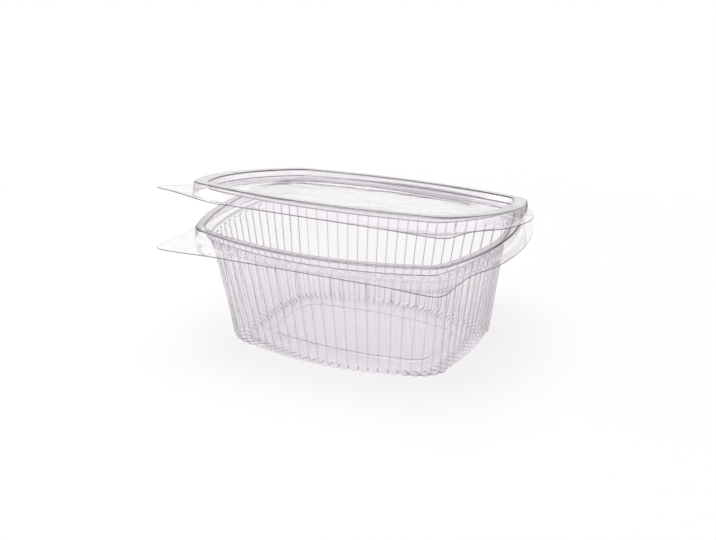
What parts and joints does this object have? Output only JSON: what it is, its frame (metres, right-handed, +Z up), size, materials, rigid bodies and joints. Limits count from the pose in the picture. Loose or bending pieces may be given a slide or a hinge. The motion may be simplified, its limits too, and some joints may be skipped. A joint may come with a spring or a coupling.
{
  "type": "hinged takeaway container",
  "caption": "Empty clear food container: a fluted tub with a rolled rim and a lid hinged along the back, standing ajar.",
  "frame": {"origin": "on the surface it stands on, at the middle of the whole object's box in plan", "axes": "+X along the long side, to the right seen from the front; -Y towards the front, where the two finger tabs are; +Z up"},
  "size_m": [0.1824, 0.1628, 0.0972],
  "materials": {
    "clear_plastic": "clear glossy thermoformed sheet with a faint mauve-grey cast"
  },
  "bodies": {
    "tub": {"tub": "clear_plastic"},
    "lid": {"lid": "clear_plastic"}
  },
  "joints": [
    {"name": "lid_hinge", "type": "hinge", "parent": "tub", "child": "lid", "pos_m": [0, 0.08165, 0.06215], "axis": [-1, 0, 0], "range_deg": [-10, 170]}
  ]
}
